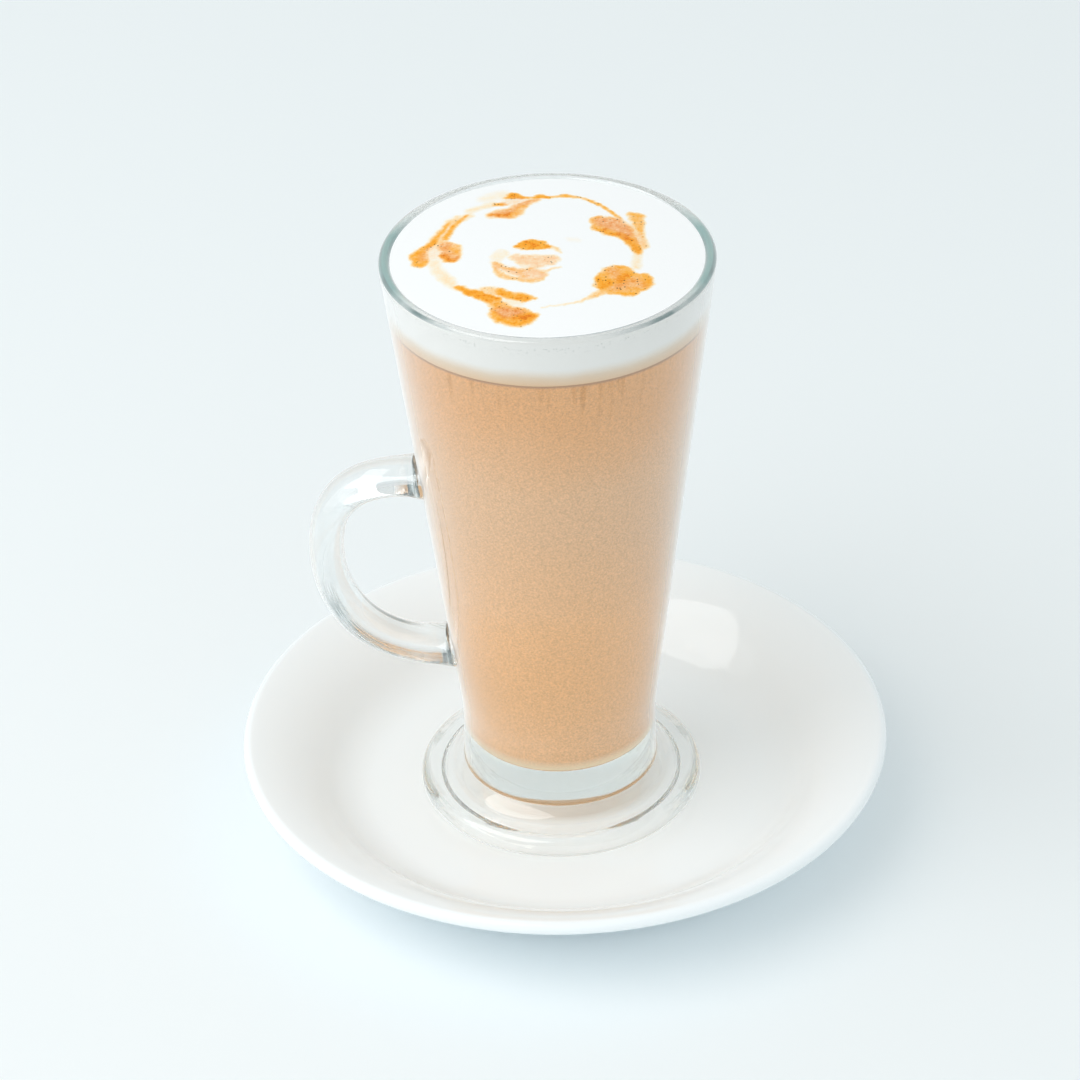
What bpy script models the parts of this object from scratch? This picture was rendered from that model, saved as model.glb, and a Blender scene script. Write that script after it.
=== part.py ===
"""A tall handled glass of latte, filled to the brim, on its saucer.

Four solids: the saucer, the glass with its handle fused on, the milky coffee in
the glass and the foam above it. Lengths are in metres and +Z is up. The origin
is the middle of the saucer's foot, on the table, and the handle points to -X.
"""

import math

import bmesh
import bpy
from mathutils.geometry import interpolate_bezier

MM = 0.001
GAP = 0.3 * MM  # left between pieces that touch
TURN_STEPS = 64  # facets round every turned piece

# Saucer, from the table up.
SAUCER_FOOT_OUTER_R = 46.5 * MM
SAUCER_FOOT_INNER_R = 42.0 * MM
SAUCER_FOOT_H = 2.0 * MM
SAUCER_FOOT_ROUND = 0.7 * MM
WELL_Z = 6.0 * MM  # the flat that the glass stands on
WELL_R = 47.0 * MM
COVE_R = 15.0 * MM
COVE_ANGLE = 45.0  # degrees, the steepest slope
SLOPE_RUN = 3.5 * MM
BROW_R = 37.4 * MM
BROW_ANGLE = 17.0  # degrees, the slope at the lip
LIP_R = 1.7 * MM
WELL_THICKNESS = WELL_Z - SAUCER_FOOT_H

# Where the glass stands, a little off the saucer's middle.
GLASS_X = -1.1 * MM
GLASS_Z = WELL_Z + GAP

# Glass, in heights above its own base.
GLASS_H = 147.6 * MM
MOUTH_R = 38.5 * MM  # of the wall's outer cone at the height of the rim
WALL_TAPER = 0.1243  # radius lost for each unit of height down the cone
WALL = 2.8 * MM
RIM_ROUND = 1.3 * MM
NECK_R = 23.2 * MM
CAVITY_FLOOR_Z = 16.0 * MM
CAVITY_CORNER_R = 7.0 * MM
NECK_FILLET_R = 1.0 * MM
NECK_FOOT_Z = 9.0 * MM  # where the neck meets the foot's top
FOOT_R = 33.9 * MM
FOOT_EDGE_Z = 3.3 * MM  # half the height of the foot's rounded edge
FOOT_EDGE_R = 2.9 * MM
FOOT_DISH_R = 28.2 * MM  # a faint valley between the edge and the neck
FOOT_DISH_Z = 5.8 * MM
STAND_INNER_R = 29.6 * MM  # the foot stands on a narrow ring outside this
PUNT_EDGE_Z = 1.4 * MM
PUNT_FLAT_R = 15.0 * MM  # the flat middle of the hollow under the foot
PUNT_H = 4.8 * MM  # how far the underside is hollowed there

# Handle, in the glass's own X and Z: a swept oval bar.
HANDLE_THICK = 8.2 * MM
HANDLE_WIDTH = 11.9 * MM
HANDLE_EMBED = 1.5 * MM  # depth of each end in the wall
HANDLE_TOP_Z = 88.8 * MM
HANDLE_BOTTOM_Z = 41.0 * MM
HANDLE_REACH = 53.8 * MM
HANDLE_REACH_Z = 69.5 * MM
TOP_PULL = (48.5 * MM, 90.6 * MM)  # (reach, height) of the Bezier handles
SHOULDER_PULL_Z = 82.0 * MM
ELBOW_PULL_Z = 51.5 * MM
BOTTOM_PULL = (42.0 * MM, 39.8 * MM)
HANDLE_POINTS = 13  # on each of the two Bezier stretches
HANDLE_SIDES_RES = 6  # bevel resolution, which gives 16 sides
ROOT_FLARE = 0.18  # extra thickness where the handle meets the wall
ROOT_LENGTH = 3.0 * MM  # over which that flare fades

# Drink.
COFFEE_TOP_Z = 134.4 * MM
FOAM_EDGE_Z = 146.7 * MM
FOAM_CROWN_Z = 147.7 * MM

MATERIALS = {
    "saucer": {"colour": (0.86, 0.88, 0.88), "roughness": 0.12, "transmission": 0.0},
    "glass": {"colour": (0.95, 0.98, 0.97), "roughness": 0.02, "transmission": 1.0},
    "coffee": {"colour": (0.66, 0.42, 0.24), "roughness": 0.35, "transmission": 0.0},
    "foam": {"colour": (0.93, 0.93, 0.92), "roughness": 0.6, "transmission": 0.0},
}


def clear_scene():
    for thing in list(bpy.data.objects):
        bpy.data.objects.remove(thing, do_unlink=True)


def new_collection(name):
    collection = bpy.data.collections.new(name)
    bpy.context.scene.collection.children.link(collection)
    return collection


def make_material(name):
    look = MATERIALS[name]
    material = bpy.data.materials.new(name)
    material.use_nodes = True
    shader = material.node_tree.nodes["Principled BSDF"]
    shader.inputs["Base Color"].default_value = (*look["colour"], 1.0)
    shader.inputs["Roughness"].default_value = look["roughness"]
    shader.inputs["Metallic"].default_value = 0.0
    shader.inputs["Transmission Weight"].default_value = look["transmission"]
    return material


def arc(centre, radius, start, end, segments):
    """Points (r, z) along an arc, both ends included; degrees from +r towards +z."""
    points = []
    for step in range(segments + 1):
        angle = math.radians(start + (end - start) * step / segments)
        points.append((centre[0] + radius * math.cos(angle), centre[1] + radius * math.sin(angle)))
    return points


def turned(name, profile, collection, parent=None):
    """A solid of revolution: the profile runs from the axis round the outer side back to the axis."""
    mesh = bpy.data.meshes.new(name)
    edges = [(i, i + 1) for i in range(len(profile) - 1)]
    mesh.from_pydata([(r, 0.0, z) for r, z in profile], edges, [])
    piece = bpy.data.objects.new(name, mesh)
    collection.objects.link(piece)
    piece.parent = parent
    screw = piece.modifiers.new("turn", "SCREW")
    screw.angle = math.tau
    screw.steps = TURN_STEPS
    screw.render_steps = TURN_STEPS
    screw.use_merge_vertices = True
    screw.merge_threshold = 0.00001
    screw.use_smooth_shade = True
    mesh.materials.append(make_material(name))
    return piece


def saucer_top():
    """(r, z, slope in degrees) along the upper face, from the well's edge to the lip."""
    points = []
    for step in range(5):
        slope = COVE_ANGLE * step / 4
        angle = math.radians(slope)
        points.append((WELL_R + COVE_R * math.sin(angle), WELL_Z + COVE_R * (1 - math.cos(angle)), slope))
    r, z, slope = points[-1]
    steep = math.radians(COVE_ANGLE)
    r += SLOPE_RUN * math.cos(steep)
    z += SLOPE_RUN * math.sin(steep)
    for step in range(5):
        slope = COVE_ANGLE + (BROW_ANGLE - COVE_ANGLE) * step / 4
        angle = math.radians(slope)
        points.append((
            r + BROW_R * (math.sin(steep) - math.sin(angle)),
            z + BROW_R * (math.cos(angle) - math.cos(steep)),
            slope,
        ))
    return points


def saucer_profile():
    top = saucer_top()
    lip_r, lip_z, lip_slope = top[-1]
    lean = math.radians(lip_slope)
    lip_centre = (lip_r + LIP_R * math.sin(lean), lip_z - LIP_R * math.cos(lean))
    lip = arc(lip_centre, LIP_R, 90 + lip_slope, lip_slope - 90, 7)
    under = []
    for step, (r, z, slope) in enumerate(top):
        thick = WELL_THICKNESS + (2 * LIP_R - WELL_THICKNESS) * step / (len(top) - 1)
        angle = math.radians(slope)
        under.append((r + thick * math.sin(angle), z - thick * math.cos(angle)))
    outer_round = (SAUCER_FOOT_OUTER_R - SAUCER_FOOT_ROUND, SAUCER_FOOT_ROUND)
    inner_round = (SAUCER_FOOT_INNER_R + SAUCER_FOOT_ROUND, SAUCER_FOOT_ROUND)
    foot = [(SAUCER_FOOT_OUTER_R, SAUCER_FOOT_H)]
    foot += arc(outer_round, SAUCER_FOOT_ROUND, 0, -90, 2)
    foot += arc(inner_round, SAUCER_FOOT_ROUND, 270, 180, 2)
    foot += [(SAUCER_FOOT_INNER_R, SAUCER_FOOT_H)]
    upper = [(0.0, WELL_Z)] + [(r, z) for r, z, slope in top[:-1]]
    return upper + lip + under[-2:0:-1] + foot + [(0.0, SAUCER_FOOT_H)]


def wall_r(z):
    """Outer radius of the glass's cone at height z, never less than the neck's."""
    return max(NECK_R, MOUTH_R - WALL_TAPER * (GLASS_H - z))


def cavity_profile(inset, top_z):
    """The inside of the bowl from its floor's middle up to top_z, drawn in by inset."""
    floor_z = CAVITY_FLOOR_Z + inset
    corner_r = CAVITY_CORNER_R - inset
    corner_z = floor_z + corner_r
    side_r = wall_r(corner_z) - WALL - inset
    corner = arc((side_r - corner_r, corner_z), corner_r, -90, 0, 5)
    return [(0.0, floor_z)] + corner + [(wall_r(top_z) - WALL - inset, top_z)]


def glass_profile():
    rim_z = GLASS_H - RIM_ROUND
    inner_r = wall_r(rim_z) - WALL
    rim = arc((inner_r + RIM_ROUND, rim_z), RIM_ROUND, 180, 90, 3)
    rim += arc((wall_r(rim_z) - RIM_ROUND, rim_z), RIM_ROUND, 90, 0, 3)
    cone_foot_z = GLASS_H - (MOUTH_R - NECK_R) / WALL_TAPER
    neck = [(NECK_R, cone_foot_z), (NECK_R, NECK_FOOT_Z + NECK_FILLET_R)]
    neck += arc((NECK_R + NECK_FILLET_R, NECK_FOOT_Z + NECK_FILLET_R), NECK_FILLET_R, 200, 250, 2)
    edge_centre = (FOOT_R - FOOT_EDGE_R, FOOT_EDGE_Z)
    foot = [(FOOT_DISH_R - 0.8 * MM, FOOT_DISH_Z + 0.25 * MM), (FOOT_DISH_R + 0.3 * MM, FOOT_DISH_Z)]
    foot += arc(edge_centre, FOOT_EDGE_R, 110, -75, 9)
    foot += [(edge_centre[0] - GAP, 0.0), (STAND_INNER_R, 0.0)]
    skirt_r = STAND_INNER_R - PUNT_EDGE_Z
    for step in range(5):
        share = step / 4
        rise = 1.6 * share - 0.6 * share ** 2
        foot.append((skirt_r + (PUNT_FLAT_R - skirt_r) * share, PUNT_EDGE_Z + (PUNT_H - PUNT_EDGE_Z) * rise))
    return cavity_profile(0.0, rim_z)[:-1] + rim + neck + foot + [(0.0, PUNT_H)]


def handle_path():
    """Points (x, z) along the middle of the handle, from the upper root to the lower."""
    top_x = -(wall_r(HANDLE_TOP_Z) - HANDLE_EMBED)
    bottom_x = -(wall_r(HANDLE_BOTTOM_Z) - HANDLE_EMBED)
    upper = interpolate_bezier(
        (top_x, 0, HANDLE_TOP_Z),
        (-TOP_PULL[0], 0, TOP_PULL[1]),
        (-HANDLE_REACH, 0, SHOULDER_PULL_Z),
        (-HANDLE_REACH, 0, HANDLE_REACH_Z),
        HANDLE_POINTS,
    )
    lower = interpolate_bezier(
        (-HANDLE_REACH, 0, HANDLE_REACH_Z),
        (-HANDLE_REACH, 0, ELBOW_PULL_Z),
        (-BOTTOM_PULL[0], 0, BOTTOM_PULL[1]),
        (bottom_x, 0, HANDLE_BOTTOM_Z),
        HANDLE_POINTS,
    )
    return list(upper) + list(lower)[1:]


def make_handle(collection, parent):
    """An oval bar: a round bevelled curve, made a mesh and widened across the handle's plane."""
    path = handle_path()
    curve = bpy.data.curves.new("handle_path", "CURVE")
    curve.dimensions = "3D"
    curve.bevel_depth = HANDLE_THICK / 2
    curve.bevel_resolution = HANDLE_SIDES_RES
    curve.use_fill_caps = True
    spline = curve.splines.new("POLY")
    spline.points.add(len(path) - 1)
    for point, place in zip(spline.points, path):
        beyond_wall = -place.x - wall_r(place.z)
        point.co = (*place, 1.0)
        point.radius = 1.0 + ROOT_FLARE * math.exp(-max(beyond_wall, 0.0) / ROOT_LENGTH)
    bar = bpy.data.objects.new("handle_path", curve)
    collection.objects.link(bar)
    bar.parent = parent
    bpy.context.view_layer.update()
    evaluated = bar.evaluated_get(bpy.context.evaluated_depsgraph_get())
    mesh = bpy.data.meshes.new_from_object(evaluated)
    mesh.name = "handle"
    widen = bmesh.new()
    widen.from_mesh(mesh)
    bmesh.ops.remove_doubles(widen, verts=widen.verts, dist=0.00001)
    bmesh.ops.scale(widen, verts=widen.verts, vec=(1.0, HANDLE_WIDTH / HANDLE_THICK, 1.0))
    widen.to_mesh(mesh)
    widen.free()
    handle = bpy.data.objects.new("handle", mesh)
    collection.objects.link(handle)
    handle.matrix_world = bar.matrix_world
    bpy.data.objects.remove(bar, do_unlink=True)
    handle.hide_render = True
    handle.display_type = "WIRE"
    return handle


def make_glass(parts, cutters, place):
    glass = turned("glass", glass_profile(), parts, place)
    join = glass.modifiers.new("handle", "BOOLEAN")
    join.operation = "UNION"
    join.solver = "EXACT"
    join.object = make_handle(cutters, place)
    return glass


def make_coffee(parts, place):
    profile = cavity_profile(GAP, COFFEE_TOP_Z) + [(0.0, COFFEE_TOP_Z)]
    profile.reverse()
    return turned("coffee", profile, parts, place)


def make_foam(parts, place):
    foot_z = COFFEE_TOP_Z + GAP
    side_top_z = FOAM_EDGE_Z - RIM_ROUND
    foot_r = wall_r(foot_z) - WALL - GAP
    side_r = wall_r(side_top_z) - WALL - GAP
    crown = []
    for step in range(5):
        share = step / 4
        lift = (FOAM_CROWN_Z - FOAM_EDGE_Z) * (1 - share ** 2)
        crown.append((share * (side_r - 0.4 * MM), FOAM_EDGE_Z + lift))
    return turned("foam", crown + [(side_r, side_top_z), (foot_r, foot_z), (0.0, foot_z)], parts, place)


def main():
    clear_scene()
    parts = new_collection("latte_glass")
    cutters = new_collection("joined_shapes")
    place = bpy.data.objects.new("glass_place", None)
    place.location = (GLASS_X, 0.0, GLASS_Z)
    parts.objects.link(place)
    turned("saucer", saucer_profile(), parts)
    make_glass(parts, cutters, place)
    make_coffee(parts, place)
    make_foam(parts, place)
    bpy.context.view_layer.update()


main()
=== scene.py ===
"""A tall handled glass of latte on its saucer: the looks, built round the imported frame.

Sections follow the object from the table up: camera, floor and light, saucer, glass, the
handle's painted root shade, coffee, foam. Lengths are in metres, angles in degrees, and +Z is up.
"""

import math

import bmesh
import bpy
import numpy as np
from mathutils import Matrix, Vector, noise
from mathutils.geometry import interpolate_bezier


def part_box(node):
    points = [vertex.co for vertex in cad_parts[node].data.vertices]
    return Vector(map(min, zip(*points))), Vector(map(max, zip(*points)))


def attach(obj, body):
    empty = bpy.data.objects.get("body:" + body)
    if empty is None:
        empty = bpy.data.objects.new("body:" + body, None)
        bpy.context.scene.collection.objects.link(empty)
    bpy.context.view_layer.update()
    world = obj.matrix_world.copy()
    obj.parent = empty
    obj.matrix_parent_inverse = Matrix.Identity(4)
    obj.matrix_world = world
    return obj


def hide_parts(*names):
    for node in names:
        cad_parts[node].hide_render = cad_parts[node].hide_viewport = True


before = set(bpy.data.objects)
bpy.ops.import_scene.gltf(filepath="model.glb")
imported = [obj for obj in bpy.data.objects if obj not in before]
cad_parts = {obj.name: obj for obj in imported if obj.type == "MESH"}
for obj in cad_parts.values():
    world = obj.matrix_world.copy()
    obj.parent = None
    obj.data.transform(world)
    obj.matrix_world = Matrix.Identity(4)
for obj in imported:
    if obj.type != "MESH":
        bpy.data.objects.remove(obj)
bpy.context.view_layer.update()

MM = 0.001

# ---------------------------------------------------------------------------
# Camera: a long lens a little over a metre away, looking down on the glass
# from the front with the handle to its left, and leaning slightly.
# ---------------------------------------------------------------------------
CAMERA_PLACE = (-0.0011, -0.8791, 0.6634)
CAMERA_DOWN = 33.74  # below the horizon
CAMERA_PAN = -0.23  # to the right
CAMERA_LEAN = -1.68  # about its own line of sight
CAMERA_FIELD = 13.72  # across the square frame

camera_data = bpy.data.cameras.new("camera")
camera_data.angle = math.radians(CAMERA_FIELD)
camera = bpy.data.objects.new("camera", camera_data)
bpy.context.scene.collection.objects.link(camera)
camera.matrix_world = (
    Matrix.Translation(CAMERA_PLACE)
    @ Matrix.Rotation(math.radians(-CAMERA_PAN), 4, "Z")
    @ Matrix.Rotation(math.radians(90 - CAMERA_DOWN), 4, "X")
    @ Matrix.Rotation(math.radians(CAMERA_LEAN), 4, "Z")
)
bpy.context.scene.camera = camera

# ---------------------------------------------------------------------------
# Floor and studio light: a pale matt sheet, a soft box high on the left, wide
# fills in front and low on the left, and a bright sky, palest at its rim.
# ---------------------------------------------------------------------------
FLOOR_SIDE = 8.0
FLOOR_COLOUR = (0.88, 0.915, 0.93)
FLOOR_ROUGHNESS = 0.7
FLOOR_SHINE = 0.2
GLASS_MIDDLE = Vector((0.0, 0.0, 0.08))
KEY_DIRECTION = Vector((-0.49, -0.27, 0.83))
KEY_DISTANCE = 1.3
STUDIO_LIGHTS = (
    # name, place, sides, power, colour
    ("key", KEY_DIRECTION.normalized() * KEY_DISTANCE, (1.2, 0.65), 5.0, (1.0, 0.985, 0.98)),
    ("front_fill", Vector((0.4, -0.9, 1.2)), (1.5, 1.5), 0.9, (0.97, 0.99, 1.0)),
    ("left_fill", Vector((-1.4, -0.45, 0.62)), (1.5, 1.5), 3.9, (0.97, 0.99, 1.0)),
)
SKY_STOPS = ((0.05, (0.80, 0.845, 0.855)), (0.55, (0.75, 0.79, 0.79)))
SKY_STRENGTH = 0.945


def set_inputs(node, **given):
    """Link or set a node's inputs by name, with _ for a space; returns the node."""
    for name, value in given.items():
        socket = node.inputs[name.replace("_", " ")]
        if isinstance(value, bpy.types.NodeSocket):
            node.id_data.links.new(value, socket)
        elif isinstance(value, tuple):
            socket.default_value = (*value, 1.0)
        else:
            socket.default_value = value
    return node


def add_node(tree, kind, **given):
    """A new node of a tree with its inputs linked or set by name."""
    return set_inputs(tree.nodes.new(kind), **given)


def axes(place):
    """The X, Y and Z of a vector socket."""
    return tuple(add_node(place.id_data, "ShaderNodeSeparateXYZ", Vector=place).outputs)


def colour_ramp(source, stops):
    """A ramp's colour, read at source, from (position, colour) stops in their order."""
    ramp = add_node(source.id_data, "ShaderNodeValToRGB", Fac=source)
    elements = ramp.color_ramp.elements
    for end, (position, colour) in zip(tuple(elements), (stops[0], stops[-1])):
        end.position = position
        end.color = (*colour, 1.0)
    for position, colour in stops[1:-1]:
        elements.new(position).color = (*colour, 1.0)
    return ramp.outputs["Color"]


def new_material(name, colour, roughness, **finish):
    """A material with one Principled shader; returns it with its node tree and shader."""
    material = bpy.data.materials.new(name)
    material.use_nodes = True
    shader = material.node_tree.nodes["Principled BSDF"]
    set_inputs(shader, Base_Color=colour, Roughness=roughness, **finish)
    return material, material.node_tree, shader


def mesh_piece(name, bm, material):
    """A smooth-shaded object from a finished bmesh."""
    mesh = bpy.data.meshes.new(name)
    bm.to_mesh(mesh)
    bm.free()
    mesh.shade_smooth()
    mesh.materials.append(material)
    piece = bpy.data.objects.new(name, mesh)
    bpy.context.scene.collection.objects.link(piece)
    return piece


floor_material, *_ = new_material("floor", FLOOR_COLOUR, FLOOR_ROUGHNESS, Specular_IOR_Level=FLOOR_SHINE)
floor_bm = bmesh.new()
bmesh.ops.create_grid(floor_bm, x_segments=1, y_segments=1, size=FLOOR_SIDE / 2)
floor = mesh_piece("floor", floor_bm, floor_material)

for name, place, sides, power, colour in STUDIO_LIGHTS:
    lamp = bpy.data.lights.new(name, "AREA")
    lamp.shape = "RECTANGLE"
    lamp.size, lamp.size_y = sides
    lamp.energy = power
    lamp.color = colour
    light = bpy.data.objects.new(name, lamp)
    light.location = place
    light.rotation_euler = (GLASS_MIDDLE - place).to_track_quat("-Z", "Y").to_euler()
    bpy.context.scene.collection.objects.link(light)

world = bpy.data.worlds.new("studio")
bpy.context.scene.world = world
world.use_nodes = True
sky = world.node_tree
sky_up = axes(sky.nodes.new("ShaderNodeTexCoord").outputs["Generated"])[2]
set_inputs(sky.nodes["Background"], Color=colour_ramp(sky_up, SKY_STOPS), Strength=SKY_STRENGTH)

bpy.context.scene.view_settings.view_transform = "Standard"
# light crosses the glass many times before it is spent
bpy.context.scene.cycles.max_bounces = 32
bpy.context.scene.cycles.transmission_bounces = 32
bpy.context.scene.cycles.diffuse_bounces = 10
bpy.context.scene.cycles.glossy_bounces = 8

# ---------------------------------------------------------------------------
# Saucer: thick white porcelain under a clear glaze, turned from one profile
# with a flat well, a steep cove, a slackening brow and a rounded lip. The
# foot ring under it is wiped clean of glaze.
# ---------------------------------------------------------------------------
TURN_STEPS = 180
CURVE_STEPS = 12
SAUCER_FOOT_OUTER_R = 46.5 * MM
SAUCER_FOOT_INNER_R = 42.0 * MM
SAUCER_FOOT_H = 2.0 * MM
SAUCER_FOOT_ROUND = 0.7 * MM
WELL_Z = 6.0 * MM
WELL_R = 47.0 * MM
WELL_THICKNESS = WELL_Z - SAUCER_FOOT_H
COVE_R = 15.0 * MM
COVE_ANGLE = 45.0
SLOPE_RUN = 3.5 * MM
BROW_R = 37.4 * MM
BROW_ANGLE = 17.0
LIP_R = 1.7 * MM
MERGE_GAP = 0.002 * MM
GLAZE_COLOUR = (0.94, 0.98, 1.0)
GLAZE_ROUGHNESS = 0.07
GLAZE_WAVE_RATE = 45.0
GLAZE_WAVE_STRENGTH = 0.06
GLAZE_WAVE_DEPTH = 0.4 * MM
BARE_CLAY_COLOUR = (0.78, 0.76, 0.72)
WIPED_Z = (0.5 * MM, 0.2 * MM)  # where the glaze ends, and where the clay is quite bare


def arc(centre, radius, start, end, segments):
    """Points (r, z) along an arc, both ends included; degrees from +r towards +z."""
    points = []
    for step in range(segments + 1):
        angle = math.radians(start + (end - start) * step / segments)
        points.append((centre[0] + radius * math.cos(angle), centre[1] + radius * math.sin(angle)))
    return points


def spun(profile, steps, place=(0.0, 0.0, 0.0)):
    """A closed bmesh of revolution from (r, z) points that start and end on the axis."""
    bm = bmesh.new()
    chain = [bm.verts.new((r, 0.0, z)) for r, z in profile]
    edges = [bm.edges.new(pair) for pair in zip(chain, chain[1:])]
    bmesh.ops.spin(
        bm, geom=chain + edges, cent=(0, 0, 0), axis=(0, 0, 1), angle=math.tau, steps=steps, use_merge=True
    )
    bmesh.ops.remove_doubles(bm, verts=bm.verts, dist=MERGE_GAP)
    bmesh.ops.recalc_face_normals(bm, faces=bm.faces)
    bmesh.ops.translate(bm, verts=bm.verts, vec=place)
    return bm


def saucer_profile():
    """The saucer's half outline: out along its top, round the lip and back underneath."""
    steep = math.radians(COVE_ANGLE)
    top = []
    for step in range(CURVE_STEPS + 1):
        angle = steep * step / CURVE_STEPS
        top.append((WELL_R + COVE_R * math.sin(angle), WELL_Z + COVE_R * (1 - math.cos(angle)), angle))
    brow_r = top[-1][0] + SLOPE_RUN * math.cos(steep)
    brow_z = top[-1][1] + SLOPE_RUN * math.sin(steep)
    for step in range(CURVE_STEPS + 1):
        angle = math.radians(COVE_ANGLE + (BROW_ANGLE - COVE_ANGLE) * step / CURVE_STEPS)
        r = brow_r + BROW_R * (math.sin(steep) - math.sin(angle))
        z = brow_z + BROW_R * (math.cos(angle) - math.cos(steep))
        top.append((r, z, angle))
    lip_r, lip_z, lean = top[-1]
    lip_centre = (lip_r + LIP_R * math.sin(lean), lip_z - LIP_R * math.cos(lean))
    lip = arc(lip_centre, LIP_R, 90 + BROW_ANGLE, BROW_ANGLE - 90, segments=16)
    under = []
    for step, (r, z, angle) in enumerate(top):
        thick = WELL_THICKNESS + (2 * LIP_R - WELL_THICKNESS) * step / (len(top) - 1)
        under.append((r + thick * math.sin(angle), z - thick * math.cos(angle)))
    outer_round = (SAUCER_FOOT_OUTER_R - SAUCER_FOOT_ROUND, SAUCER_FOOT_ROUND)
    inner_round = (SAUCER_FOOT_INNER_R + SAUCER_FOOT_ROUND, SAUCER_FOOT_ROUND)
    foot = [(SAUCER_FOOT_OUTER_R, SAUCER_FOOT_H)]
    foot += arc(outer_round, SAUCER_FOOT_ROUND, 0, -90, segments=5)
    foot += arc(inner_round, SAUCER_FOOT_ROUND, 270, 180, segments=5)
    foot += [(share * SAUCER_FOOT_INNER_R, SAUCER_FOOT_H) for share in (1.0, 0.5, 0.0)]
    well = [(share * WELL_R, WELL_Z) for share in (0.0, 0.3, 0.7)]
    return well + [(r, z) for r, z, angle in top[:-1]] + lip + under[-2:0:-1] + foot


def object_place(tree):
    """Where on the object a point lies."""
    return tree.nodes.new("ShaderNodeTexCoord").outputs["Object"]


def map_range(source, low, high, to_low=0.0, to_high=1.0):
    """A socket brought from low..high to to_low..to_high, and held there beyond them."""
    return add_node(
        source.id_data, "ShaderNodeMapRange",
        Value=source, From_Min=low, From_Max=high, To_Min=to_low, To_Max=to_high,
    ).outputs["Result"]


def noise_texture(place, rate, detail=2.0, roughness=0.5):
    """A cloudy pattern from 0 to 1."""
    return add_node(
        place.id_data, "ShaderNodeTexNoise", Vector=place, Scale=rate, Detail=detail, Roughness=roughness
    ).outputs["Fac"]


def blend_colour(factor, first, second, mode="MIX"):
    """One colour laid over another by a factor; each may be a socket or a value."""
    given = (factor, first, second)
    tree = next(value.id_data for value in given if isinstance(value, bpy.types.NodeSocket))
    made = tree.nodes.new("ShaderNodeMix")
    made.data_type = "RGBA"
    made.blend_type = mode
    for socket, value in zip((made.inputs[0], made.inputs[6], made.inputs[7]), given):
        if isinstance(value, bpy.types.NodeSocket):
            tree.links.new(value, socket)
        else:
            socket.default_value = (*value, 1.0) if isinstance(value, tuple) else value
    return made.outputs[2]


def bump(height, strength, depth):
    """The normal of a surface that rises by height times depth."""
    return add_node(
        height.id_data, "ShaderNodeBump", Height=height, Strength=strength, Distance=depth
    ).outputs["Normal"]


glaze_material, glaze_tree, glaze_shader = new_material("saucer_glaze", GLAZE_COLOUR, GLAZE_ROUGHNESS)
glaze_place = object_place(glaze_tree)
glaze_wave = noise_texture(glaze_place, GLAZE_WAVE_RATE, 1.0)
wiped = map_range(axes(glaze_place)[2], *WIPED_Z)
set_inputs(
    glaze_shader,
    Base_Color=blend_colour(wiped, GLAZE_COLOUR, BARE_CLAY_COLOUR),
    Normal=bump(glaze_wave, GLAZE_WAVE_STRENGTH, GLAZE_WAVE_DEPTH),
)

saucer = mesh_piece("saucer_glazed", spun(saucer_profile(), TURN_STEPS), glaze_material)
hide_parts("saucer")
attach(saucer, "root")

# ---------------------------------------------------------------------------
# Glass: one piece of clear pressed glass, with a straight tapered bowl, a neck
# on a thick round foot, and an oval loop handle pressed onto the wall. Bowl
# and foot are spun, the handle is swept, and the two are fused.
# ---------------------------------------------------------------------------
glass_low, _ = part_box("glass")
coffee_low, coffee_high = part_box("coffee")
GLASS_AXIS = Vector(((coffee_low.x + coffee_high.x) / 2, 0.0, glass_low.z))
GLASS_H = 147.6 * MM
MOUTH_R = 38.5 * MM
WALL_TAPER = 0.1243
WALL = 2.8 * MM
RIM_ROUND = 1.3 * MM
NECK_R = 23.2 * MM
NECK_BLEND = 2.0 * MM
CAVITY_FLOOR_Z = 16.0 * MM
CAVITY_CORNER_R = 7.0 * MM
NECK_FILLET_R = 1.0 * MM
NECK_FOOT_Z = 9.0 * MM
FOOT_R = 33.9 * MM
FOOT_EDGE_Z = 3.3 * MM
FOOT_EDGE_R = 2.9 * MM
FOOT_DISH_R = 28.2 * MM
FOOT_DISH_Z = 6.15 * MM
FOOT_DISH_RISE = ((2.6, 1.45), (1.8, 0.75), (0.9, 0.28), (-0.1, 0.06), (-1.2, 0.0))  # mm in, mm up
STAND_INNER_R = 29.6 * MM
PUNT_EDGE_Z = 1.4 * MM
PUNT_SKIRT_RUN = 0.3 * MM
PUNT_SKIRT_RISE = 0.5 * MM
PUNT_STEPS = 8
PUNT_FLAT_R = 15.0 * MM
PUNT_FLAT_ROUND = 1.5 * MM
PUNT_H = 4.8 * MM
HANDLE_THICK = 8.2 * MM
HANDLE_WIDTH = 11.9 * MM
HANDLE_EMBED = 1.5 * MM
HANDLE_TOP_Z = 88.8 * MM
HANDLE_BOTTOM_Z = 41.0 * MM
HANDLE_REACH = 53.8 * MM
HANDLE_REACH_Z = 69.5 * MM
HANDLE_STATIONS = 40
HANDLE_SIDES = 36
TOP_PULL = (48.5 * MM, 90.6 * MM)
SHOULDER_PULL_Z = 82.0 * MM
ELBOW_PULL_Z = 51.5 * MM
BOTTOM_PULL = (42.0 * MM, 39.8 * MM)
ROOT_FLARE = 0.18
ROOT_LENGTH = 3.0 * MM
HANDLE_BAND_Z = (0.2 * GLASS_H, 0.8 * GLASS_H)  # heights between which only the handle leaves the wall
WALL_SKIN = 0.1 * MM
CREASE_ANGLE = 40.0


def wall_r(z):
    """Outer radius of the bowl at height z over the glass's base."""
    return max(NECK_R, MOUTH_R - WALL_TAPER * (GLASS_H - z))


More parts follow.
